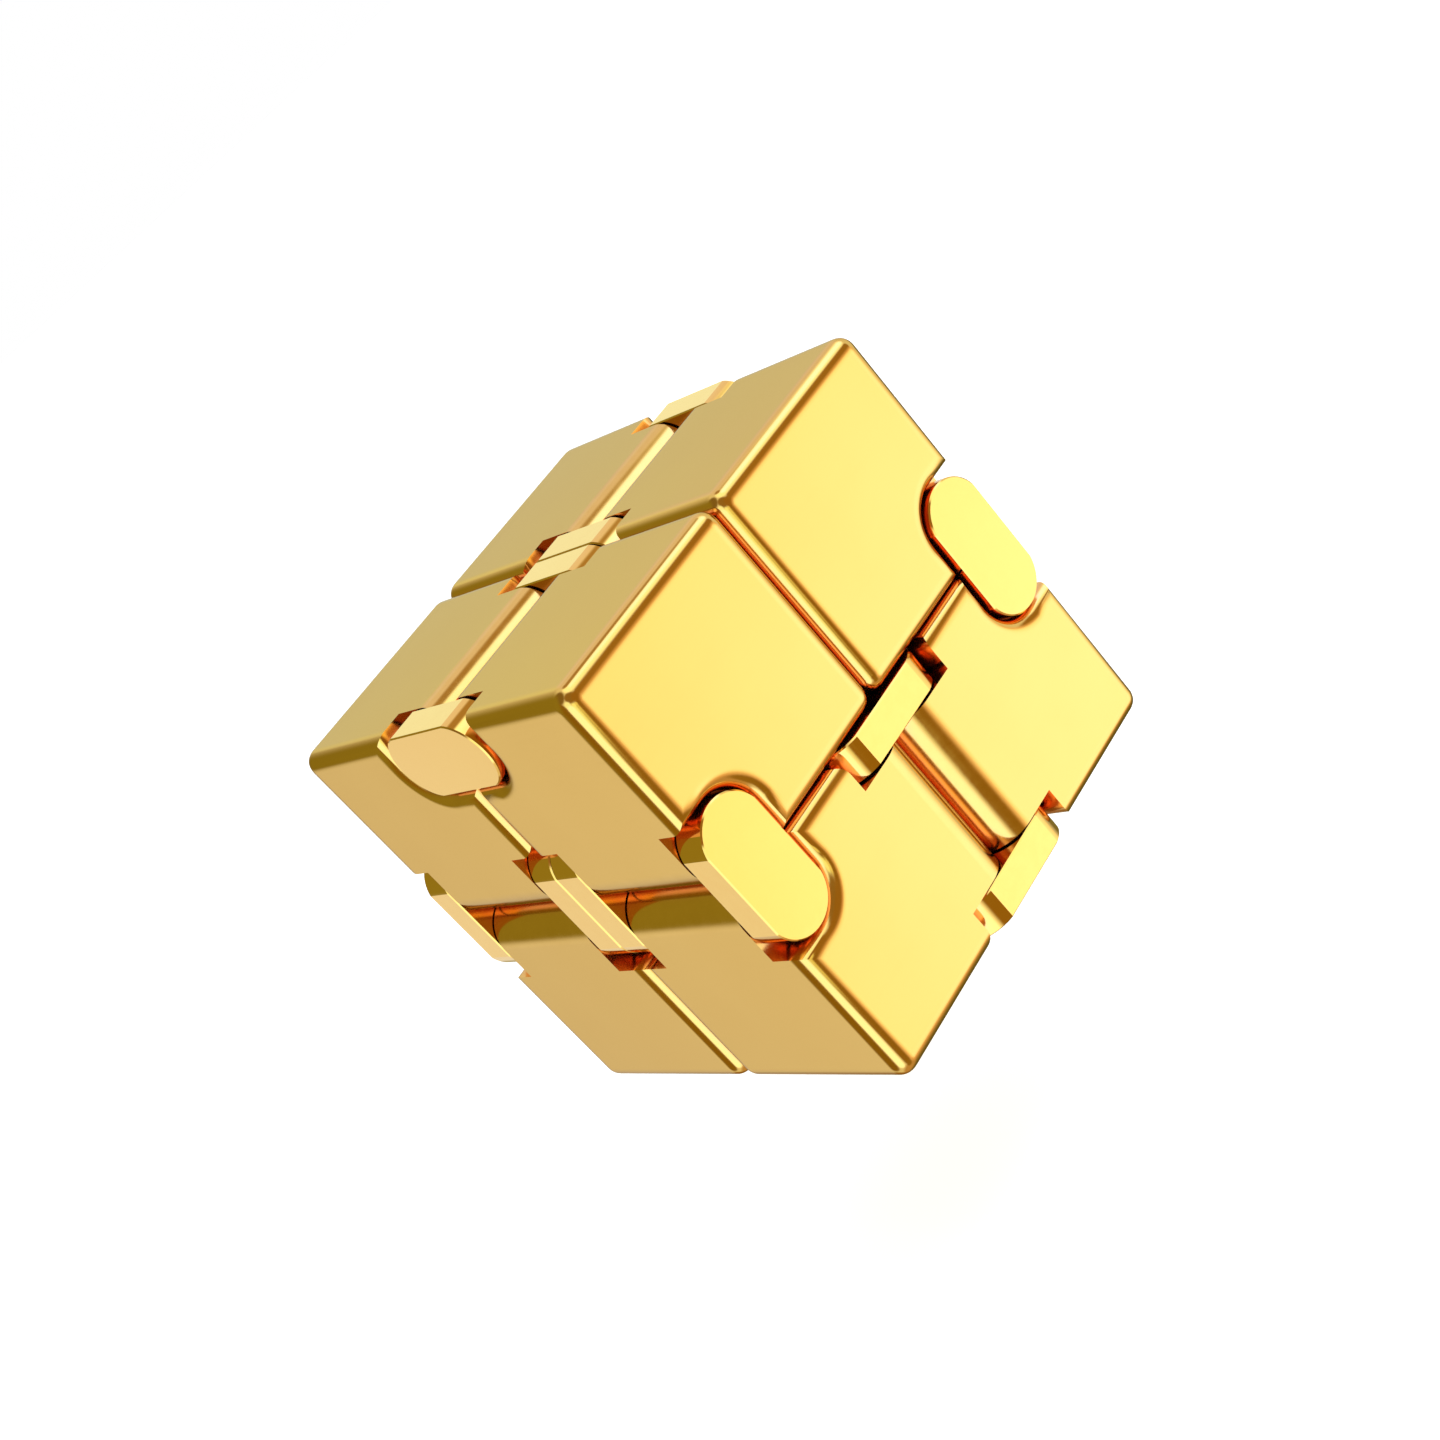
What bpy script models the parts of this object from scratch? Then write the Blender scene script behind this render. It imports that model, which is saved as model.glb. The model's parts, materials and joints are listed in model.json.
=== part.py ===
"""Folding cube puzzle: eight gold-finished metal blocks in a closed ring.

Each block is hinged to the next by a double-pin hinge: two stadium-shaped
link plates, one at each end of the hinged edge, and two parallel pins that
run through the blocks and end in blind holes in the plates.

Frame: metres, +Z up, +X front, +Y right, origin at the centre of the
closed cube's bottom face.
"""
from math import atan2, cos, pi, sin, sqrt

import bmesh
import bpy
from mathutils import Matrix, Vector

MM = 0.001

# ---------------------------------------------------------------- dimensions
CUBE = 40.0 * MM            # side of the closed cube
SEAM_GAP = 0.12 * MM        # space between neighbouring blocks
EDGE_R = 1.08 * MM          # fillet on the block's plain edges and end rims
KNUCKLE_R = 3.12 * MM       # rounding of a hinged edge, concentric with its pin

PLATE_T = 3.10 * MM         # link plate thickness
PLATE_HALF_W = KNUCKLE_R    # the plate's long sides lie flush with the faces
PLATE_END_R = 3.20 * MM     # the plate's end arcs, concentric with the pins
PLATE_CHAMFER = 0.16 * MM

SLOT_DEPTH = 3.25 * MM      # pocket depth along the pin, from the end face
POCKET_R = 3.31 * MM        # pocket wall to pin axis, and its inner corner

PIN_R = 1.30 * MM
BORE_R = 1.37 * MM          # running clearance in the blocks
SEAT_R = 1.37 * MM          # blind holes in the plates
SEAT_DEPTH = 2.30 * MM
PIN_END_GAP = 0.30 * MM     # pin end to the bottom of its blind hole

# ---------------------------------------------------------------- mesh detail
FILLET_SEGMENTS = 2
KNUCKLE_SEGMENTS = 7
POCKET_SEGMENTS = 4
PLATE_ARC_STEPS = 8
ROUND_SIDES = 16

# ---------------------------------------------------------------- derived
HALF = CUBE / 2.0
BLOCK = HALF - SEAM_GAP / 2.0           # side of one block
BLOCK_HALF = BLOCK / 2.0
BLOCK_CENTRE = (HALF + SEAM_GAP / 2.0) / 2.0
PIN_SEAM = SEAM_GAP / 2.0 + KNUCKLE_R   # pin axis from the seam plane
PIN_FACE = HALF - KNUCKLE_R             # pin axis from the cube's centre
PIN_LOCAL = BLOCK_HALF - KNUCKLE_R      # pin axis from the block's centre
PIN_SPAN_LOW = SEAM_GAP / 2.0 + PLATE_T  # along the pin, inner plate's inside
PIN_SPAN_HIGH = HALF - PLATE_T          # along the pin, outer plate's inside
CUBE_CENTRE = Vector((0.0, 0.0, HALF))
MARGIN = 1.0 * MM

X, Y, Z = 0, 1, 2

# ---------------------------------------------------------------- topology
# Block name: the sign of its centre along X, Y and Z.
BLOCKS = {
    "front_top_right": (1, 1, 1),
    "front_top_left": (1, -1, 1),
    "front_bottom_left": (1, -1, -1),
    "front_bottom_right": (1, 1, -1),
    "rear_top_right": (-1, 1, 1),
    "rear_top_left": (-1, -1, 1),
    "rear_bottom_left": (-1, -1, -1),
    "rear_bottom_right": (-1, 1, -1),
}

# Hinge name: (pin axis, its side), (face it lies in, its side), seam axis,
# and the names of its pins on the seam's negative and positive side.
HINGES = {
    "top_right": ((Y, 1), (Z, 1), X, ("rear", "front")),
    "top_left": ((Y, -1), (Z, 1), X, ("rear", "front")),
    "right_front": ((X, 1), (Y, 1), Z, ("lower", "upper")),
    "right_rear": ((X, -1), (Y, 1), Z, ("lower", "upper")),
    "left_front": ((X, 1), (Y, -1), Z, ("lower", "upper")),
    "left_rear": ((X, -1), (Y, -1), Z, ("lower", "upper")),
    "front_lower": ((Z, -1), (X, 1), Y, ("left", "right")),
    "rear_lower": ((Z, -1), (X, -1), Y, ("left", "right")),
}

# Kinematic tree: joint name, hinge, pin on that hinge, parent, child.
# A child that is a hinge name is that hinge's link (two plates, two pins).
ROOT = "rear_bottom"
JOINTS = [
    ("right_swing", "right_rear", "lower", ROOT, "right_rear"),
    ("right_rear_upper", "right_rear", "upper", "right_rear", "rear_top_right"),
    ("book_fold", "top_right", "rear", "rear_top_right", "top_right"),
    ("top_right_front", "top_right", "front", "top_right", "front_top_right"),
    ("right_front_upper", "right_front", "upper", "front_top_right", "right_front"),
    ("right_front_lower", "right_front", "lower", "right_front", "front_bottom_right"),
    ("left_swing", "left_rear", "lower", ROOT, "left_rear"),
    ("left_rear_upper", "left_rear", "upper", "left_rear", "rear_top_left"),
    ("top_left_rear", "top_left", "rear", "rear_top_left", "top_left"),
    ("top_left_front", "top_left", "front", "top_left", "front_top_left"),
    ("left_front_upper", "left_front", "upper", "front_top_left", "left_front"),
    ("left_front_lower", "left_front", "lower", "left_front", "front_bottom_left"),
]

# The two lower hinges stay shut while the others work, so their links ride
# with one of their blocks.
CARRIED = {"rear_lower": ROOT, "front_lower": "front_bottom_right"}

# Joint empty and its position, by the body that it carries.
HOLDERS = {}


# ---------------------------------------------------------------- helpers
def axis_vector(index, sign=1.0):
    vector = Vector((0.0, 0.0, 0.0))
    vector[index] = sign
    return vector


def hinge_edges(signs):
    """The hinges that touch a block, as (pin axis, {axis: local side})."""
    edges = []
    for (pin, pin_side), (face, face_side), seam, _ in HINGES.values():
        if signs[pin] == pin_side and signs[face] == face_side:
            edges.append((pin, {face: face_side, seam: -signs[seam]}))
    return edges


def box(bm, low, high):
    """Add a box between two corners and return its vertices."""
    made = bmesh.ops.create_cube(bm, size=1.0)
    bmesh.ops.scale(bm, vec=high - low, verts=made["verts"])
    bmesh.ops.translate(bm, vec=(low + high) / 2.0, verts=made["verts"])
    return made["verts"]


def rod(bm, pin, centre, radius, length):
    """Add a closed cylinder along one axis."""
    turn = {X: Matrix.Rotation(pi / 2, 4, "Y"), Y: Matrix.Rotation(pi / 2, 4, "X"), Z: Matrix()}
    matrix = Matrix.Translation(centre) @ turn[pin]
    bmesh.ops.create_cone(
        bm, cap_ends=True, segments=ROUND_SIDES, radius1=radius, radius2=radius, depth=length,
        matrix=matrix,
    )


def on_plane(vertex, axis, value, tolerance=2e-7):
    return abs(vertex.co[axis] - value) < tolerance


def round_edges(bm, edges, radius, segments):
    bmesh.ops.bevel(
        bm, geom=list(edges), offset=radius, offset_type="OFFSET", segments=segments,
        profile=0.5, affect="EDGES", clamp_overlap=False,
    )


def new_object(name, bm, collection, material=None):
    mesh = bpy.data.meshes.new(name)
    bmesh.ops.recalc_face_normals(bm, faces=bm.faces)
    bm.to_mesh(mesh)
    bm.free()
    obj = bpy.data.objects.new(name, mesh)
    collection.objects.link(obj)
    if material:
        mesh.materials.append(material)
    return obj


def cutter(name, bm, collection):
    obj = new_object(name, bm, collection)
    obj.hide_render = True
    obj.display_type = "WIRE"
    return obj


def cut(obj, tool):
    modifier = obj.modifiers.new("cut_" + tool.name, "BOOLEAN")
    modifier.operation = "DIFFERENCE"
    modifier.solver = "EXACT"
    modifier.object = tool


def apply_modifiers(obj):
    """Replace the object's mesh by its evaluated one."""
    bpy.context.view_layer.update()
    evaluated = obj.evaluated_get(bpy.context.evaluated_depsgraph_get())
    mesh = bpy.data.meshes.new_from_object(evaluated)
    mesh.name = obj.name
    old = obj.data
    obj.modifiers.clear()
    obj.data = mesh
    bpy.data.meshes.remove(old)


def smooth(mesh, degrees=32.0):
    mesh.shade_smooth()
    mesh.set_sharp_from_angle(angle=degrees * pi / 180.0)


def principled(name, colour, roughness):
    material = bpy.data.materials.new(name)
    material.use_nodes = True
    shader = material.node_tree.nodes["Principled BSDF"]
    shader.inputs["Base Color"].default_value = (*colour, 1.0)
    shader.inputs["Metallic"].default_value = 1.0
    shader.inputs["Roughness"].default_value = roughness
    material.diffuse_color = (*colour, 1.0)
    return material


# ---------------------------------------------------------------- pieces
def pocket_box(bm, pin, sides, end):
    """One pocket: open at the end face, the outer face and the seam face.

    Its inner corner is rounded about the pin, so that the link plate can
    swing in it.
    """
    low, high = Vector(), Vector()
    inner = {}
    for axis, side in sides.items():
        wall = side * (PIN_LOCAL - POCKET_R)
        mouth = side * (BLOCK_HALF + MARGIN)
        low[axis], high[axis] = min(wall, mouth), max(wall, mouth)
        inner[axis] = wall
    floor = end * (BLOCK_HALF - SLOT_DEPTH)
    mouth = end * (BLOCK_HALF + MARGIN)
    low[pin], high[pin] = min(floor, mouth), max(floor, mouth)
    vertices = box(bm, low, high)
    corner = [v for v in vertices if all(on_plane(v, a, c) for a, c in inner.items())]
    edges = [e for e in corner[0].link_edges if e.other_vert(corner[0]) is corner[1]]
    round_edges(bm, edges, POCKET_R, POCKET_SEGMENTS)


def fillet_edges(bm, hinged):
    """The block's plain edges, and the rims of its pockets in the end faces."""
    def outer_planes(vertices):
        return {
            (axis, side)
            for axis in (X, Y, Z)
            for side in (-1, 1)
            if all(on_plane(v, axis, side * BLOCK_HALF) for v in vertices)
        }

    reach = PIN_LOCAL - POCKET_R - 2e-6
    chosen = []
    for edge in bm.edges:
        planes = outer_planes(edge.verts)
        if len(planes) == 2:
            chosen.append(edge)
            continue
        if len(planes) != 1:
            continue
        (axis, _), = planes
        inside = [f for f in edge.link_faces if not outer_planes(f.verts)]
        if len(inside) != 1:
            continue
        middle = (edge.verts[0].co + edge.verts[1].co) / 2.0
        if any(
            pin == axis and all(middle[a] * s > reach for a, s in sides.items())
            for pin, sides in hinged
        ):
            chosen.append(edge)
    return chosen


def make_block(name, signs, parts, cutters, material):
    hinged = hinge_edges(signs)
    bm = bmesh.new()
    corner = Vector((BLOCK_HALF,) * 3)
    box(bm, -corner, corner)
    knuckles = [
        e for e in bm.edges for _, sides in hinged
        if all(on_plane(v, a, s * BLOCK_HALF) for v in e.verts for a, s in sides.items())
    ]
    round_edges(bm, knuckles, KNUCKLE_R, KNUCKLE_SEGMENTS)
    block = new_object("block_" + name, bm, parts, material)

    bm = bmesh.new()
    for pin, sides in hinged:
        for end in (-1, 1):
            pocket_box(bm, pin, sides, end)
    pockets = cutter("pockets_" + name, bm, cutters)

    bm = bmesh.new()
    for pin, sides in hinged:
        centre = Vector()
        for axis, side in sides.items():
            centre[axis] = side * PIN_LOCAL
        rod(bm, pin, centre, BORE_R, BLOCK - 2 * SLOT_DEPTH + MARGIN)
    bores = cutter("bores_" + name, bm, cutters)

    cut(block, pockets)
    cut(block, bores)
    apply_modifiers(block)

    bm = bmesh.new()
    bm.from_mesh(block.data)
    round_edges(bm, fillet_edges(bm, hinged), EDGE_R, FILLET_SEGMENTS)
    bm.to_mesh(block.data)
    bm.free()
    smooth(block.data)
    return block


def stadium_outline():
    """Two long sides and two end arcs that overshoot them by a little."""
    reach = sqrt(PLATE_END_R**2 - PLATE_HALF_W**2)
    widest = atan2(PLATE_HALF_W, reach)
    points = []
    for side in (1.0, -1.0):
        for step in range(PLATE_ARC_STEPS + 1):
            angle = widest * (1.0 - 2.0 * step / PLATE_ARC_STEPS)
            points.append(
                (side * (PIN_SEAM + PLATE_END_R * cos(angle)), side * PLATE_END_R * sin(angle))
            )
    return points[::-1]


def make_plate_mesh(parts, cutters):
    """Local frame: length along X, width along Y, pin holes in the +Z side."""
    points = stadium_outline()
    curve = bpy.data.curves.new("plate_outline", "CURVE")
    curve.dimensions = "2D"
    curve.fill_mode = "BOTH"
    curve.extrude = PLATE_T / 2.0
    spline = curve.splines.new("POLY")
    spline.points.add(len(points) - 1)
    for point, (x, y) in zip(spline.points, points):
        point.co = (x, y, 0.0, 1.0)
    spline.use_cyclic_u = True
    outline = bpy.data.objects.new("plate_outline", curve)
    parts.objects.link(outline)
    bpy.context.view_layer.update()
    evaluated = outline.evaluated_get(bpy.context.evaluated_depsgraph_get())
    solid = bpy.data.meshes.new_from_object(evaluated)
    bm = bmesh.new()
    bm.from_mesh(solid)
    bpy.data.objects.remove(outline)
    bpy.data.curves.remove(curve)
    bpy.data.meshes.remove(solid)
    bmesh.ops.remove_doubles(bm, verts=bm.verts, dist=1e-6)
    bmesh.ops.dissolve_limit(bm, angle_limit=0.001, verts=bm.verts, edges=bm.edges)
    rims = [
        e for e in bm.edges
        if any(all(on_plane(v, Z, s * PLATE_T / 2.0) for v in e.verts) for s in (-1, 1))
    ]
    round_edges(bm, rims, PLATE_CHAMFER, 1)
    plate = new_object("plate_shape", bm, parts)

    bm = bmesh.new()
    for side in (-1, 1):
        centre = Vector((side * PIN_SEAM, 0.0, PLATE_T / 2.0))
        rod(bm, Z, centre, SEAT_R, 2.0 * SEAT_DEPTH)
    seats = cutter("plate_seats", bm, cutters)
    cut(plate, seats)
    apply_modifiers(plate)
    mesh = plate.data
    bpy.data.objects.remove(plate)
    smooth(mesh)
    return mesh


def make_pin_mesh(material):
    """Along local Z, centred on the origin."""
    between = PIN_SPAN_HIGH - PIN_SPAN_LOW
    length = between + 2.0 * (SEAT_DEPTH - PIN_END_GAP)
    bm = bmesh.new()
    rod(bm, Z, Vector(), PIN_R, length)
    mesh = bpy.data.meshes.new("pin_shape")
    bm.to_mesh(mesh)
    bm.free()
    mesh.materials.append(material)
    smooth(mesh)
    return mesh


def hinge_point(hinge, pin_name, along=None):
    """A point on a pin's axis; by default at the middle of the hinged edge."""
    (pin, pin_side), (face, face_side), seam, names = HINGES[hinge]
    point = Vector()
    point[pin] = pin_side * ((PIN_SPAN_LOW + PIN_SPAN_HIGH) / 2.0 if along is None else along)
    point[face] = face_side * PIN_FACE
    if pin_name is not None:
        point[seam] = (-1.0, 1.0)[names.index(pin_name)] * PIN_SEAM
    return point + CUBE_CENTRE


def place(obj, body, location, rotation=None):
    """Parent to a body's joint empty, at a location in the cube's frame."""
    empty, at = HOLDERS.get(body, (None, Vector()))
    obj.parent = empty
    obj.location = location - at
    if rotation is not None:
        obj.rotation_euler = rotation.to_euler()


def plate_rotation(hinge, end):
    """Length along the seam axis, pin holes towards the other plate."""
    (pin, pin_side), _, seam, _ = HINGES[hinge]
    z_axis = axis_vector(pin, -end * pin_side)
    x_axis = axis_vector(seam)
    y_axis = z_axis.cross(x_axis)
    return Matrix((x_axis, y_axis, z_axis)).transposed()


def pin_rotation(hinge):
    (pin, _), _, seam, _ = HINGES[hinge]
    z_axis = axis_vector(pin)
    x_axis = axis_vector(seam)
    y_axis = z_axis.cross(x_axis)
    return Matrix((x_axis, y_axis, z_axis)).transposed()


# ---------------------------------------------------------------- build
for old in list(bpy.data.objects):
    bpy.data.objects.remove(old, do_unlink=True)

scene = bpy.context.scene
parts = bpy.data.collections.new("folding_cube")
cutters = bpy.data.collections.new("cutters")
scene.collection.children.link(parts)
scene.collection.children.link(cutters)

block_gold = principled("block_gold", (0.88, 0.62, 0.22), 0.20)
plate_gold = principled("plate_gold", (0.95, 0.72, 0.30), 0.14)
pin_steel = principled("pin_steel", (0.78, 0.72, 0.60), 0.25)

# One empty for each joint, on the pin's axis, nested as the chain folds.
for joint, hinge, pin_name, parent_name, child_name in JOINTS:
    axis_empty = bpy.data.objects.new("axis_" + joint, None)
    axis_empty.empty_display_size = 3.0 * MM
    parts.objects.link(axis_empty)
    position = hinge_point(hinge, pin_name)
    place(axis_empty, parent_name, position)
    HOLDERS[child_name] = (axis_empty, position)

for name, signs in BLOCKS.items():
    block = make_block(name, signs, parts, cutters, block_gold)
    centre = Vector(signs) * BLOCK_CENTRE + CUBE_CENTRE
    place(block, name, centre)

plate_mesh = make_plate_mesh(parts, cutters)
plate_mesh.materials.append(plate_gold)
pin_mesh = make_pin_mesh(pin_steel)

for hinge, (_, _, _, pin_names) in HINGES.items():
    body = CARRIED.get(hinge, hinge)
    for end, label in ((-1, "inner"), (1, "outer")):
        plate = bpy.data.objects.new("plate_%s_%s" % (hinge, label), plate_mesh)
        parts.objects.link(plate)
        along = PIN_SPAN_LOW - PLATE_T / 2.0 if end < 0 else PIN_SPAN_HIGH + PLATE_T / 2.0
        place(plate, body, hinge_point(hinge, None, along), plate_rotation(hinge, end))
    for pin_name in pin_names:
        pin = bpy.data.objects.new("pin_%s_%s" % (hinge, pin_name), pin_mesh)
        parts.objects.link(pin)
        place(pin, body, hinge_point(hinge, pin_name), pin_rotation(hinge))

for tool in list(cutters.objects):
    bpy.data.objects.remove(tool, do_unlink=True)
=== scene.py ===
"""Closed gold folding cube over a pale floor, in soft studio light.

The shapes repeat the CAD model's dimensions, with finer fillets. Everything
is in metres, in the CAD frame: +Z up, +X front, +Y right, origin at the
centre of the closed cube's bottom face.
"""

import json
from math import atan2, cos, pi, radians, sin, sqrt

import bmesh
import bpy
from mathutils import Matrix, Vector


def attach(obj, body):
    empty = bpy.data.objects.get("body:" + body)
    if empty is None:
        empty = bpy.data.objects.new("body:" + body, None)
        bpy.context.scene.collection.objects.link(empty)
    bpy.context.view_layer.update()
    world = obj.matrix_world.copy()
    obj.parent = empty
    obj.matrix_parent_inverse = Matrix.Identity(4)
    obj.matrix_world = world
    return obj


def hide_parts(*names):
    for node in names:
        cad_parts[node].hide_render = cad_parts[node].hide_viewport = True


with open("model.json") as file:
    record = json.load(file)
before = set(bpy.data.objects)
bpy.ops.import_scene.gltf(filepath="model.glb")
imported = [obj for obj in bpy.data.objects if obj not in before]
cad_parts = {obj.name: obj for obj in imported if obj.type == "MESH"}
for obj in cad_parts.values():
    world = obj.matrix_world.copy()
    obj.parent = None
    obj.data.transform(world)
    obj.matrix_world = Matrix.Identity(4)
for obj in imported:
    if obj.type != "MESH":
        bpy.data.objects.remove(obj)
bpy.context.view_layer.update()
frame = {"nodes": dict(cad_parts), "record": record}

MM = 0.001

# ---------------------------------------------------------------- dimensions
CUBE = 40.0 * MM
SEAM_GAP = 0.12 * MM
EDGE_WIDTH = 1.50 * MM      # a soft fillet, a little squarer than a round one
EDGE_PROFILE = 0.55
KNUCKLE_R = 3.12 * MM
PLATE_T = 3.10 * MM
PLATE_HALF_W = KNUCKLE_R
PLATE_END_R = 3.20 * MM
PLATE_EDGE_R = 0.11 * MM
SLOT_DEPTH = 3.25 * MM      # a pocket for a plate, along the pin
POCKET_R = 3.31 * MM        # its inner corner, round the pin
BORE_R = 1.37 * MM          # the pin's hole in a block
SEAT_R = 1.37 * MM          # the pin's blind hole in a plate
SEAT_DEPTH = 2.30 * MM

FILLET_SEGMENTS = 14
KNUCKLE_SEGMENTS = 24
POCKET_SEGMENTS = 16
PLATE_ARC_STEPS = 28
ROUND_SIDES = 48
BLOCK_CREASE = 40.0         # degrees; edges over this stay sharp
PLATE_CREASE = 10.0         # keeps the line where a round end meets the side
FLAT_WEIGHT = 100           # how far flat faces decide the smooth normals

HALF = CUBE / 2.0
BLOCK = HALF - SEAM_GAP / 2.0
BLOCK_HALF = BLOCK / 2.0
BLOCK_OFFSET = (HALF + SEAM_GAP / 2.0) / 2.0    # along each axis, from the cube's centre
PIN_SEAM = SEAM_GAP / 2.0 + KNUCKLE_R
PIN_FACE = HALF - KNUCKLE_R
PIN_LOCAL = BLOCK_HALF - KNUCKLE_R
PIN_SPAN_LOW = SEAM_GAP / 2.0 + PLATE_T
PIN_SPAN_HIGH = HALF - PLATE_T
CUBE_CENTRE = Vector((0.0, 0.0, HALF))
MARGIN = 1.0 * MM           # how far a cutting shape passes what it cuts

X, Y, Z = 0, 1, 2

BLOCKS = {
    "front_top_right": (1, 1, 1),
    "front_top_left": (1, -1, 1),
    "front_bottom_left": (1, -1, -1),
    "front_bottom_right": (1, 1, -1),
    "rear_top_right": (-1, 1, 1),
    "rear_top_left": (-1, -1, 1),
    "rear_bottom_left": (-1, -1, -1),
    "rear_bottom_right": (-1, 1, -1),
}

# Hinge name: (pin axis, its side), (face it lies in, its side), seam axis.
HINGES = {
    "top_right": ((Y, 1), (Z, 1), X),
    "top_left": ((Y, -1), (Z, 1), X),
    "right_front": ((X, 1), (Y, 1), Z),
    "right_rear": ((X, -1), (Y, 1), Z),
    "left_front": ((X, 1), (Y, -1), Z),
    "left_rear": ((X, -1), (Y, -1), Z),
    "front_lower": ((Z, -1), (X, 1), Y),
    "rear_lower": ((Z, -1), (X, -1), Y),
}

BODY_OF_NODE = {
    node: body
    for body, nodes in frame["record"]["behaviour"]["bodies"].items()
    for node in nodes
}


# ---------------------------------------------------------------- node helpers
class Nodes:
    """A small builder for one node tree."""

    # The colour sockets of a Mix node.
    MIX_INPUTS = (6, 7)
    MIX_OUTPUT = 2

    def __init__(self, tree):
        self.tree = tree
        self.tree.nodes.clear()

    def add(self, kind, inputs=None, **settings):
        node = self.tree.nodes.new(kind)
        for name, value in settings.items():
            setattr(node, name, value)
        for key, value in (inputs or {}).items():
            self.put(node, key, value)
        return node

    def put(self, node, key, value):
        socket = node.inputs[key]
        if isinstance(value, bpy.types.NodeSocket):
            self.tree.links.new(value, socket)
        else:
            socket.default_value = value

    def math(self, operation, a, b, clamp=False):
        node = self.add("ShaderNodeMath", {0: a, 1: b}, operation=operation, use_clamp=clamp)
        return node.outputs[0]

    def map_range(self, value, low, high, to_low=0.0, to_high=1.0, smooth=True):
        return self.add(
            "ShaderNodeMapRange",
            {
                "Value": value, "From Min": low, "From Max": high,
                "To Min": to_low, "To Max": to_high,
            },
            interpolation_type="SMOOTHSTEP" if smooth else "LINEAR",
        ).outputs["Result"]

    def noise(self, vector, scale, detail=2.0, roughness=0.5):
        return self.add(
            "ShaderNodeTexNoise",
            {"Vector": vector, "Scale": scale, "Detail": detail, "Roughness": roughness},
        ).outputs["Fac"]

    def mix_colour(self, factor, a, b):
        node = self.add("ShaderNodeMix", {"Factor": factor}, data_type="RGBA")
        for index, value in zip(self.MIX_INPUTS, (a, b)):
            if isinstance(value, bpy.types.NodeSocket):
                self.tree.links.new(value, node.inputs[index])
            else:
                node.inputs[index].default_value = (*value, 1.0)
        return node.outputs[self.MIX_OUTPUT]


# ---------------------------------------------------------------- materials
# Painted shade, with a warm painted reflection, in a recess, where the finish is also rougher.
# A wall nearer than the reach closes a point in; the painted recess tone begins at the first
# openness, and is full at the second.
RECESS_REACH = 2.5 * MM
RECESS_SAMPLES = 6
RECESS_BEGINS = 0.75
RECESS_FULL = 0.35
RECESS_ROUGH = 0.05

# Noise scales per metre.
CLOUD_SCALE = 55.0
FINE_SCALE = 900.0
STREAK_SCALE = 260.0
STREAK_STRETCH = 14.0
SMUDGE_SCALE = 130.0

# Between which two values of its noise each effect rises from none to full.
CLOUD_SPAN = (0.30, 0.70)
FINE_SPAN = (0.35, 0.65)
STREAK_SPAN = (0.35, 0.75)
SMUDGE_SPAN = (0.42, 0.70)

# How much smudges, streaks and handled edges change the roughness and tint; the lighter tint
# on edges is wear and partly a painted highlight.
SMUDGE_ROUGH = 0.028
STREAK_ROUGH_LOW = -0.008
STREAK_ROUGH_HIGH = 0.018
WORN_ROUGH = 0.03
WEAR_AND_HIGHLIGHT_TINT = 0.25
WEAR_AND_HIGHLIGHT_GAIN = 1.08
WEAR_AND_HIGHLIGHT_LIFT = 0.03
WEAR_AND_HIGHLIGHT_BEGINS = 0.53          # pointiness
WEAR_AND_HIGHLIGHT_FULL = 0.60

# What the bump is made of.
FINE_SHARE = 0.6
STREAK_SHARE = 0.4


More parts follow.
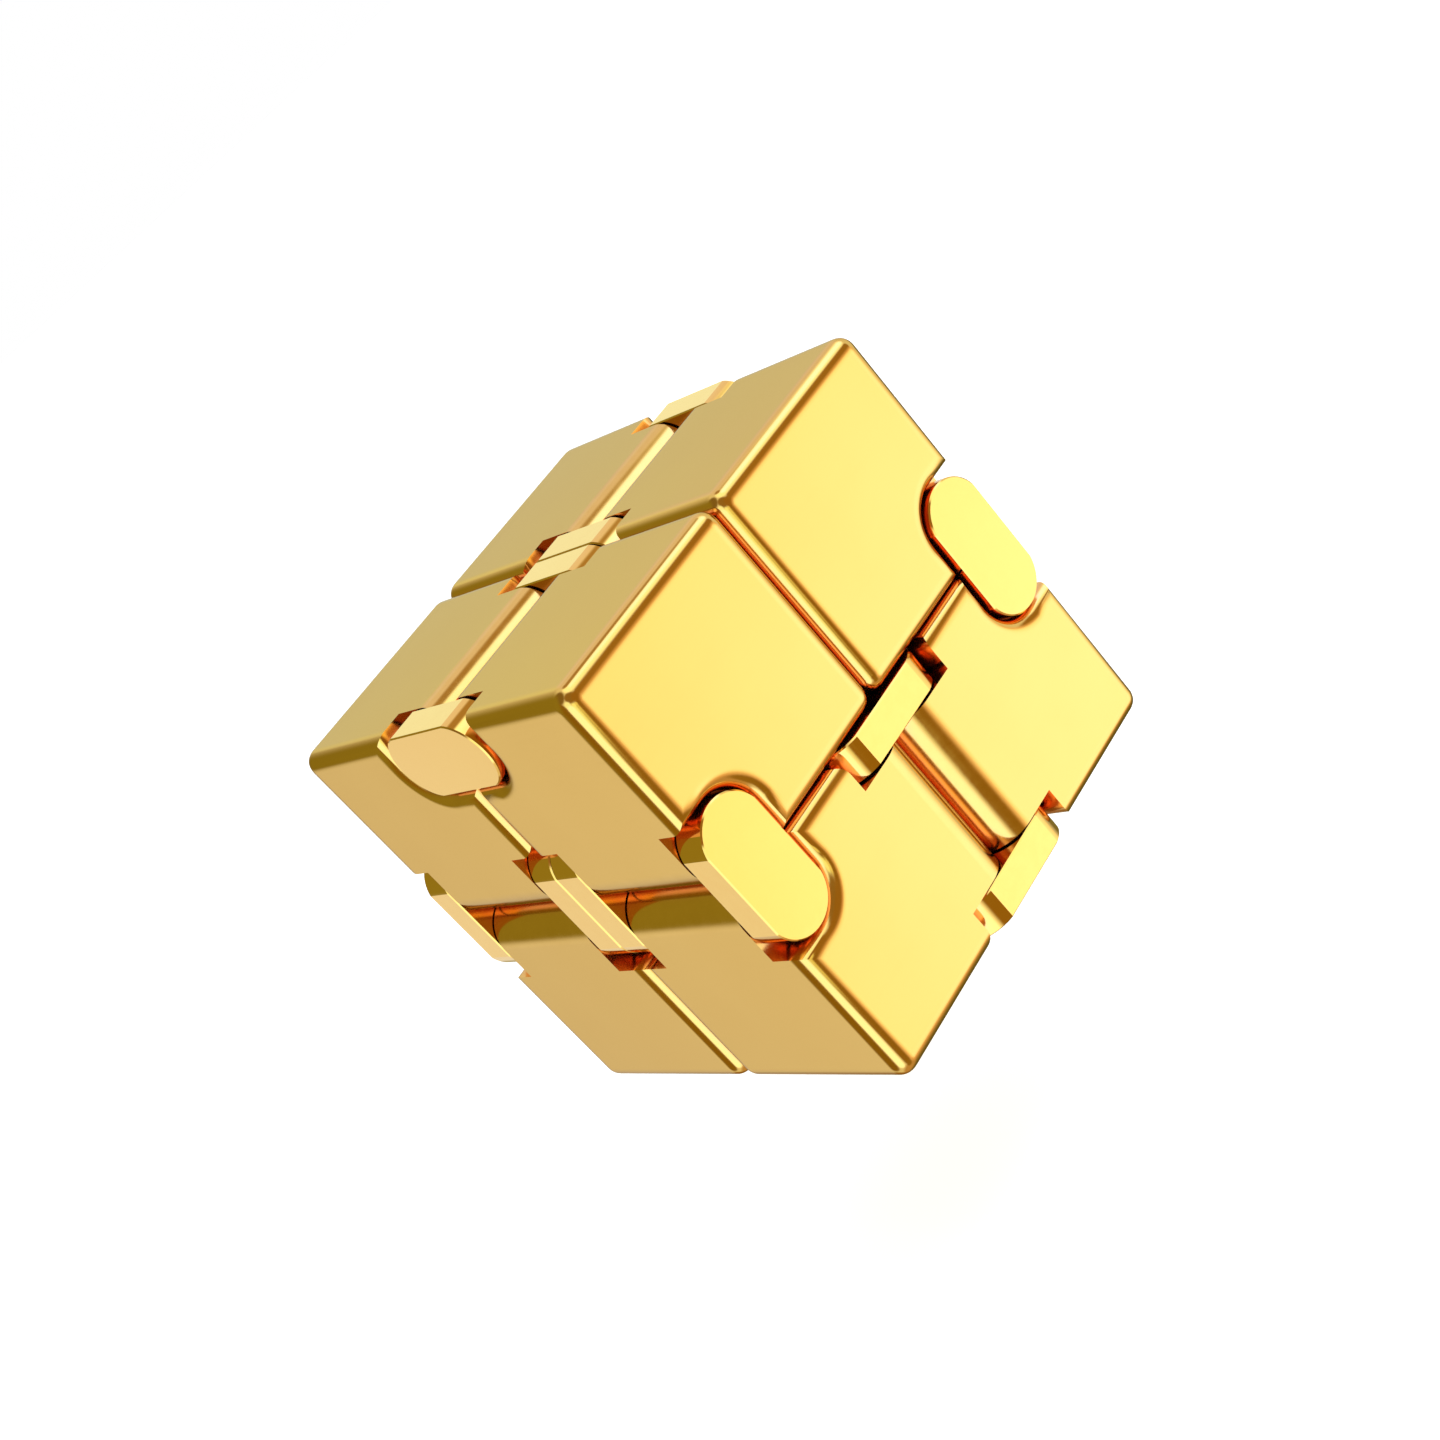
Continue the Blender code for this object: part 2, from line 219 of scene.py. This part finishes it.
def polished_metal(name, colour, deep, painted_recess_shade, glance, roughness, grain, seed):
    """Polished metal, rougher in its recesses, with painted shade and a warm painted
    reflection there.

    colour and deep are the two ends of a faint cloudy tint; the recess tone is
    painted shade with a warm painted reflection in pockets and gaps; glance is
    how much of the mirror-like glare is left at a glancing angle; roughness is
    the base value; grain is the height of the fine polishing grain in metres.
    """
    material = bpy.data.materials.new(name)
    material.use_nodes = True
    n = Nodes(material.node_tree)
    place = n.add("ShaderNodeTexCoord").outputs["Object"]
    offset = (seed, -seed, 0.5 * seed)
    place = n.add("ShaderNodeVectorMath", {0: place, 1: offset}, operation="ADD").outputs[0]

    cloud = n.noise(place, CLOUD_SCALE, detail=3.0)
    fine = n.noise(place, FINE_SCALE, detail=4.0, roughness=0.6)
    tint = n.mix_colour(n.map_range(cloud, *CLOUD_SPAN), colour, deep)

    # Painted shade and a warm painted reflection in the pockets and gaps, where the finish is
    # also rougher.
    space = n.add(
        "ShaderNodeAmbientOcclusion", {"Distance": RECESS_REACH}, samples=RECESS_SAMPLES,
    ).outputs["AO"]
    hidden = n.map_range(space, RECESS_BEGINS, RECESS_FULL)
    tint = n.mix_colour(hidden, tint, painted_recess_shade)

    # Polishing smears: long faint streaks, and finger-scale smudges.
    stretch = (1.0, 1.0, STREAK_STRETCH)
    stretched = n.add("ShaderNodeMapping", {"Vector": place, "Scale": stretch}).outputs[0]
    streak = n.noise(stretched, STREAK_SCALE, detail=3.0, roughness=0.55)
    smudge = n.noise(place, SMUDGE_SCALE, detail=4.0, roughness=0.6)
    smudge = n.map_range(smudge, *SMUDGE_SPAN)
    rough = n.math("ADD", roughness, n.math("MULTIPLY", smudge, SMUDGE_ROUGH))
    streaky = n.map_range(
        streak, *STREAK_SPAN, STREAK_ROUGH_LOW, STREAK_ROUGH_HIGH, smooth=False)
    rough = n.math("ADD", rough, streaky)

    # Edges are handled most: there the metal is satin from wear, and a little brighter, which
    # is wear and partly a painted highlight.
    convex = n.add("ShaderNodeNewGeometry").outputs["Pointiness"]
    convex = n.map_range(convex, WEAR_AND_HIGHLIGHT_BEGINS, WEAR_AND_HIGHLIGHT_FULL)
    wear_and_highlight = n.math("MULTIPLY", convex, n.map_range(fine, *FINE_SPAN), clamp=True)
    rubbed_and_highlight = tuple(min(1.0, c * WEAR_AND_HIGHLIGHT_GAIN + WEAR_AND_HIGHLIGHT_LIFT) for c in colour)
    tint = n.mix_colour(n.math("MULTIPLY", wear_and_highlight, WEAR_AND_HIGHLIGHT_TINT), tint, rubbed_and_highlight)
    rough = n.math("ADD", rough, n.math("MULTIPLY", wear_and_highlight, WORN_ROUGH))
    rough = n.math("ADD", rough, n.math("MULTIPLY", hidden, RECESS_ROUGH))

    height = n.math(
        "ADD", n.math("MULTIPLY", fine, FINE_SHARE), n.math("MULTIPLY", streak, STREAK_SHARE))
    bump = n.add("ShaderNodeBump", {"Height": height, "Distance": grain, "Strength": 1.0})
    shader = n.add(
        "ShaderNodeBsdfPrincipled",
        {
            "Base Color": tint, "Roughness": rough, "Metallic": 1.0,
            "Normal": bump.outputs["Normal"], "Specular Tint": (*glance, 1.0),
        },
    )
    n.add("ShaderNodeOutputMaterial", {"Surface": shader.outputs[0]})
    return material


# Each recess colour below is painted shade with a warm painted reflection.
BLOCK_GOLD = polished_metal(
    "block_gold", colour=(0.885, 0.56, 0.152), deep=(0.870, 0.545, 0.144),
    painted_recess_shade=(0.95, 0.47, 0.22), glance=(0.62, 0.58, 0.58),
    roughness=0.12, grain=1.2e-7, seed=0.0,
)
PLATE_GOLD = polished_metal(
    "plate_gold", colour=(0.96, 0.595, 0.145), deep=(0.945, 0.58, 0.14),
    painted_recess_shade=(0.95, 0.48, 0.22), glance=(1.0, 1.0, 1.0),
    roughness=0.05, grain=0.5e-7, seed=0.3,
)
PIN_STEEL = polished_metal(
    "pin_steel", colour=(0.78, 0.72, 0.60), deep=(0.72, 0.66, 0.55),
    painted_recess_shade=(0.60, 0.46, 0.34), glance=(1.0, 1.0, 1.0),
    roughness=0.24, grain=2.0e-7, seed=0.7,
)


# ---------------------------------------------------------------- mesh helpers
TOLERANCE = 2e-7            # how near a plane a vertex counts as on it
RIM_SLACK = 2e-6            # lets the pocket rim's own ends count as inside it


def axis_vector(index, sign=1.0):
    vector = Vector((0.0, 0.0, 0.0))
    vector[index] = sign
    return vector


def on_plane(vertex, axis, value):
    return abs(vertex.co[axis] - value) < TOLERANCE


def box(bm, low, high):
    made = bmesh.ops.create_cube(bm, size=1.0)
    bmesh.ops.scale(bm, vec=high - low, verts=made["verts"])
    bmesh.ops.translate(bm, vec=(low + high) / 2.0, verts=made["verts"])
    return made["verts"]


def rod(bm, pin, centre, radius, length):
    turn = {
        X: Matrix.Rotation(pi / 2, 4, "Y"),
        Y: Matrix.Rotation(pi / 2, 4, "X"),
        Z: Matrix(),
    }
    bmesh.ops.create_cone(
        bm, cap_ends=True, segments=ROUND_SIDES, radius1=radius, radius2=radius, depth=length,
        matrix=Matrix.Translation(centre) @ turn[pin],
    )


def round_edges(bm, edges, width, segments, profile=0.5):
    """Bevel the edges; a profile of 0.5 is round."""
    bmesh.ops.bevel(
        bm, geom=list(edges), offset=width, offset_type="OFFSET", segments=segments,
        profile=profile, affect="EDGES", clamp_overlap=False,
    )


def new_object(name, bm):
    mesh = bpy.data.meshes.new(name)
    bmesh.ops.recalc_face_normals(bm, faces=bm.faces)
    bm.to_mesh(mesh)
    bm.free()
    obj = bpy.data.objects.new(name, mesh)
    bpy.context.scene.collection.objects.link(obj)
    return obj


def evaluated_mesh(obj):
    bpy.context.view_layer.update()
    depsgraph = bpy.context.evaluated_depsgraph_get()
    return bpy.data.meshes.new_from_object(obj.evaluated_get(depsgraph))


def apply_modifiers(obj):
    mesh = evaluated_mesh(obj)
    old = obj.data
    obj.modifiers.clear()
    obj.data = mesh
    bpy.data.meshes.remove(old)


def cut(obj, bm):
    """Cut obj with the closed shapes in bm, and keep only the result."""
    tool = new_object("tool", bm)
    modifier = obj.modifiers.new("cut", "BOOLEAN")
    modifier.operation = "DIFFERENCE"
    modifier.solver = "EXACT"
    modifier.object = tool
    apply_modifiers(obj)
    used = tool.data
    bpy.data.objects.remove(tool)
    bpy.data.meshes.remove(used)


def shade(obj, material, crease):
    """Smooth shading that keeps the flat faces flat, and edges over crease degrees sharp."""
    obj.data.materials.clear()
    obj.data.materials.append(material)
    obj.data.shade_smooth()
    obj.data.set_sharp_from_angle(angle=radians(crease))
    weighted = obj.modifiers.new("flat faces", "WEIGHTED_NORMAL")
    weighted.mode = "FACE_AREA"
    weighted.weight = FLAT_WEIGHT
    weighted.keep_sharp = True
    apply_modifiers(obj)


# ---------------------------------------------------------------- blocks
def hinge_edges(signs):
    """The hinges that touch a block, as (pin axis, {axis: local side})."""
    edges = []
    for (pin, pin_side), (face, face_side), seam in HINGES.values():
        if signs[pin] == pin_side and signs[face] == face_side:
            edges.append((pin, {face: face_side, seam: -signs[seam]}))
    return edges


def pocket_box(bm, pin, sides, end):
    """One pocket for a link plate, with its inner corner round the pin."""
    low = Vector()
    high = Vector()
    inner = {axis: side * (PIN_LOCAL - POCKET_R) for axis, side in sides.items()}
    walls = {**inner, pin: end * (BLOCK_HALF - SLOT_DEPTH)}
    for axis, side in (*sides.items(), (pin, end)):
        mouth = side * (BLOCK_HALF + MARGIN)
        low[axis] = min(walls[axis], mouth)
        high[axis] = max(walls[axis], mouth)
    corner = [
        v for v in box(bm, low, high)
        if all(on_plane(v, axis, place) for axis, place in inner.items())
    ]
    edges = [e for e in corner[0].link_edges if e.other_vert(corner[0]) is corner[1]]
    round_edges(bm, edges, POCKET_R, POCKET_SEGMENTS)


def outer_planes(vertices):
    """The block's outside planes that hold all the vertices, as (axis, side)."""
    return {
        (axis, side) for axis in (X, Y, Z) for side in (-1, 1)
        if all(on_plane(v, axis, side * BLOCK_HALF) for v in vertices)
    }


def fillet_edges(bm, hinged):
    """The block's plain edges, and the rims of its pockets in the end faces."""
    reach = PIN_LOCAL - POCKET_R - RIM_SLACK
    chosen = []
    for edge in bm.edges:
        planes = outer_planes(edge.verts)
        if len(planes) == 2:
            chosen.append(edge)
        elif len(planes) == 1 and sum(not outer_planes(f.verts) for f in edge.link_faces) == 1:
            (axis, _), = planes
            middle = (edge.verts[0].co + edge.verts[1].co) / 2.0
            if any(
                pin == axis and all(middle[a] * s > reach for a, s in sides.items())
                for pin, sides in hinged
            ):
                chosen.append(edge)
    return chosen


def make_block(name, signs):
    hinged = hinge_edges(signs)
    bm = bmesh.new()
    corner = Vector((BLOCK_HALF,) * 3)
    box(bm, -corner, corner)
    knuckles = [
        e for e in bm.edges for _, sides in hinged
        if all(on_plane(v, a, s * BLOCK_HALF) for v in e.verts for a, s in sides.items())
    ]
    round_edges(bm, knuckles, KNUCKLE_R, KNUCKLE_SEGMENTS)
    block = new_object("cube_block_" + name, bm)

    tool = bmesh.new()
    for pin, sides in hinged:
        for end in (-1, 1):
            pocket_box(tool, pin, sides, end)
    cut(block, tool)
    tool = bmesh.new()
    for pin, sides in hinged:
        centre = Vector()
        for axis, side in sides.items():
            centre[axis] = side * PIN_LOCAL
        rod(tool, pin, centre, BORE_R, BLOCK - 2 * SLOT_DEPTH + MARGIN)
    cut(block, tool)

    bm = bmesh.new()
    bm.from_mesh(block.data)
    round_edges(bm, fillet_edges(bm, hinged), EDGE_WIDTH, FILLET_SEGMENTS, EDGE_PROFILE)
    bm.to_mesh(block.data)
    bm.free()
    shade(block, BLOCK_GOLD, BLOCK_CREASE)
    block.location = Vector(signs) * BLOCK_OFFSET + CUBE_CENTRE
    return block


# ---------------------------------------------------------------- link plates
def make_plate_mesh():
    """Local frame: length along X, width along Y, pin holes in the +Z side."""
    widest = atan2(PLATE_HALF_W, sqrt(PLATE_END_R**2 - PLATE_HALF_W**2))
    bm = bmesh.new()
    outline = []
    for side in (1.0, -1.0):
        for step in range(PLATE_ARC_STEPS + 1):
            angle = widest * (1.0 - 2.0 * step / PLATE_ARC_STEPS)
            outline.append(bm.verts.new((
                side * (PIN_SEAM + PLATE_END_R * cos(angle)),
                side * PLATE_END_R * sin(angle),
                -PLATE_T / 2.0,
            )))
    face = bm.faces.new(outline)
    raised = bmesh.ops.extrude_face_region(bm, geom=[face])
    top = [g for g in raised["geom"] if isinstance(g, bmesh.types.BMVert)]
    bmesh.ops.translate(bm, vec=(0.0, 0.0, PLATE_T), verts=top)
    bmesh.ops.recalc_face_normals(bm, faces=bm.faces)
    rims = [e for e in bm.edges if abs(e.verts[0].co.z - e.verts[1].co.z) < TOLERANCE]
    round_edges(bm, rims, PLATE_EDGE_R, 1)
    plate = new_object("plate_shape", bm)
    tool = bmesh.new()
    for side in (-1, 1):
        rod(tool, Z, Vector((side * PIN_SEAM, 0.0, PLATE_T / 2.0)), SEAT_R, 2.0 * SEAT_DEPTH)
    cut(plate, tool)
    shade(plate, PLATE_GOLD, PLATE_CREASE)
    mesh = plate.data
    bpy.data.objects.remove(plate)
    return mesh


def plate_matrix(hinge, end):
    """Where a hinge's plate lies: end is -1 for the inner plate and 1 for the outer."""
    (pin, pin_side), (face, face_side), seam = HINGES[hinge]
    middle = PIN_SPAN_LOW - PLATE_T / 2.0 if end < 0 else PIN_SPAN_HIGH + PLATE_T / 2.0
    centre = Vector()
    centre[pin] = pin_side * middle
    centre[face] = face_side * PIN_FACE
    z_axis = axis_vector(pin, -end * pin_side)
    x_axis = axis_vector(seam)
    turn = Matrix((x_axis, z_axis.cross(x_axis), z_axis)).transposed()
    return Matrix.Translation(centre + CUBE_CENTRE) @ turn.to_4x4()


# ---------------------------------------------------------------- the object
for name, signs in BLOCKS.items():
    node = "block_" + name
    piece = make_block(name, signs)
    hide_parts(node)
    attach(piece, BODY_OF_NODE[node])

plate_mesh = make_plate_mesh()
for hinge in HINGES:
    for end, label in ((-1, "inner"), (1, "outer")):
        node = "plate_%s_%s" % (hinge, label)
        piece = bpy.data.objects.new("link_" + node, plate_mesh)
        bpy.context.scene.collection.objects.link(piece)
        piece.matrix_world = plate_matrix(hinge, end)
        bpy.context.view_layer.update()
        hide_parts(node)
        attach(piece, BODY_OF_NODE[node])

for node, obj in frame["nodes"].items():
    if node.startswith("pin_"):
        obj.data.materials.clear()
        obj.data.materials.append(PIN_STEEL)

# ---------------------------------------------------------------- camera
# Axes of the camera in the cube's frame, and its place from the cube's centre.
CAMERA_RIGHT = Vector((0.58483, 0.51548, -0.62630))
CAMERA_UP = Vector((0.13134, 0.70175, 0.70022))
CAMERA_BACK = Vector((0.80046, -0.49176, 0.34270))
CAMERA_PLACE = Vector((143.40, -87.05, 63.41)) * MM

SENSOR_WIDTH = 36.0         # millimetres, as the focal length is
FOCAL_LENGTH = 55.04
SHIFT_X = 0.0045            # of the picture's width
SHIFT_Y = -0.0110

camera_data = bpy.data.cameras.new("camera")
camera_data.sensor_fit = "HORIZONTAL"
camera_data.sensor_width = SENSOR_WIDTH
camera_data.lens = FOCAL_LENGTH
camera_data.shift_x = SHIFT_X
camera_data.shift_y = SHIFT_Y
camera_data.clip_start = 5.0 * MM
camera_data.dof.use_dof = False
camera = bpy.data.objects.new("camera", camera_data)
bpy.context.scene.collection.objects.link(camera)
turn = Matrix((CAMERA_RIGHT, CAMERA_UP, CAMERA_BACK)).transposed().to_4x4()
camera.matrix_world = Matrix.Translation(CAMERA_PLACE + CUBE_CENTRE) @ turn
bpy.context.scene.camera = camera

# ---------------------------------------------------------------- floor
# Opened right out, the cube reaches 20.12 mm below its closed place. The floor
# lies under that, so that it hides no block in any pose.
FLOOR_Z = -20.25 * MM
FLOOR_REACH = 3.0           # metres, to each side
FLOOR_GLOW = 0.78           # keeps the floor as pale as the backdrop
FLOOR_MOTTLE = 9.0          # noise scale per metre

bm = bmesh.new()
bmesh.ops.create_grid(bm, x_segments=8, y_segments=8, size=FLOOR_REACH)
floor = new_object("floor", bm)
floor.location.z = FLOOR_Z
floor_material = bpy.data.materials.new("floor")
floor_material.use_nodes = True
n = Nodes(floor_material.node_tree)
place = n.add("ShaderNodeTexCoord").outputs["Object"]
mottle = n.noise(place, FLOOR_MOTTLE, detail=3.0)
tone = n.mix_colour(mottle, (0.93, 0.93, 0.93), (0.95, 0.95, 0.95))
matte = n.add("ShaderNodeBsdfDiffuse", {"Color": tone})
glow = n.add("ShaderNodeEmission", {"Color": (1.0, 1.0, 1.0, 1.0), "Strength": FLOOR_GLOW})
both = n.add("ShaderNodeAddShader", {0: matte.outputs[0], 1: glow.outputs[0]})
n.add("ShaderNodeOutputMaterial", {"Surface": both.outputs[0]})
floor.data.materials.append(floor_material)
floor.visible_glossy = False
floor.visible_shadow = False

# ---------------------------------------------------------------- light
# The studio round the object, as its metal reflects it: a pale room with warm
# dark gaps between soft panels. Each patch is laid over the ones before it:
# azimuth from +X towards +Y and elevation of its middle, the angles from there
# at which it is full and at which it ends (all in degrees), and its colour.
ROOM = (0.86, 0.88, 0.84)
PATCHES = [
    # below, and behind on the right
    (20, -75, 30, 46, (0.58, 0.39, 0.20)),
    (118, -50, 12, 42, (0.20, 0.18, 0.05)),
    (113, -22, 10, 25, (0.22, 0.20, 0.06)),
    (156, -24, 8, 22, (0.44, 0.38, 0.18)),
    (-165, -54, 12, 24, (0.38, 0.24, 0.07)),
    # dark gaps between the panels
    (-110, 50, 28, 42, (0.24, 0.17, 0.05)),
    (-20, 30, 26, 38, (0.32, 0.20, 0.05)),
    (12, 6, 22, 34, (0.35, 0.19, 0.03)),
    (44, 15, 15, 24, (0.37, 0.21, 0.04)),
    (-8, -26, 14, 23, (0.31, 0.175, 0.02)),
    (-8, -46, 8, 18, (0.33, 0.20, 0.03)),
    (-115, -10, 28, 38, (0.27, 0.16, 0.012)),
    (-150, 14, 18, 52, (0.30, 0.26, 0.04)),
    # left wall
    (-157, -24, 8, 22, (0.90, 0.94, 1.05)),
    # rear wall, and the warm rise from it to the top panel
    (148, 16, 12, 24, (0.98, 1.12, 0.94)),
    (140, 32, 8, 18, (0.96, 0.98, 1.30)),
    (128, 52, 10, 22, (0.88, 0.84, 1.00)),
    # low front panel with a warm rim, brighter on its right
    (43, -25, 16, 36, (1.05, 0.70, 0.42)),
    (43, -25, 14, 25, (1.30, 1.44, 1.27)),
    (63, -28, 6, 18, (1.20, 1.20, 1.10)),
    (49, -30, 0, 22, (1.55, 1.72, 2.00)),
    # top panel, and the gap at its far side
    (62, 61, 18, 35, (1.40, 1.60, 1.60)),
    (74, 49, 6, 18, (1.50, 1.80, 2.80)),
    (112, 64, 6, 15, (0.44, 0.29, 0.12)),
    # tall left panel, and the one at its right
    (-16, -13, 4, 10, (1.05, 1.05, 0.55)),
    (-32, -12, 7, 13, (1.20, 1.45, 1.00)),
    (-62, 4, 12, 24, (1.20, 1.50, 1.50)),
    (-60, -23, 15, 26, (1.45, 1.75, 2.10)),
]
world = bpy.data.worlds.new("studio")
world.use_nodes = True
bpy.context.scene.world = world
n = Nodes(world.node_tree)
direction = n.add("ShaderNodeTexCoord").outputs["Generated"]
light = ROOM
for azimuth, elevation, full, end, colour in PATCHES:
    rise = Matrix.Rotation(radians(-elevation), 3, "Y")
    middle = Matrix.Rotation(radians(azimuth), 3, "Z") @ rise @ axis_vector(X)
    toward = n.add("ShaderNodeVectorMath", {0: direction, 1: middle}, operation="DOT_PRODUCT")
    cover = n.map_range(toward.outputs["Value"], cos(radians(end)), cos(radians(full)))
    light = n.mix_colour(cover, light, colour)
studio = n.add("ShaderNodeBackground", {"Color": light, "Strength": 1.0})
backdrop = n.add("ShaderNodeBackground", {"Color": (1.0, 1.0, 1.0, 1.0), "Strength": 1.0})
seen = n.add("ShaderNodeLightPath").outputs["Is Camera Ray"]
surface = n.add("ShaderNodeMixShader", {0: seen, 1: studio.outputs[0], 2: backdrop.outputs[0]})
n.add("ShaderNodeOutputWorld", {"Surface": surface.outputs[0]})

settings = bpy.context.scene.view_settings
settings.view_transform = "Standard"
settings.look = "None"
settings.exposure = 0.0
settings.gamma = 1.0
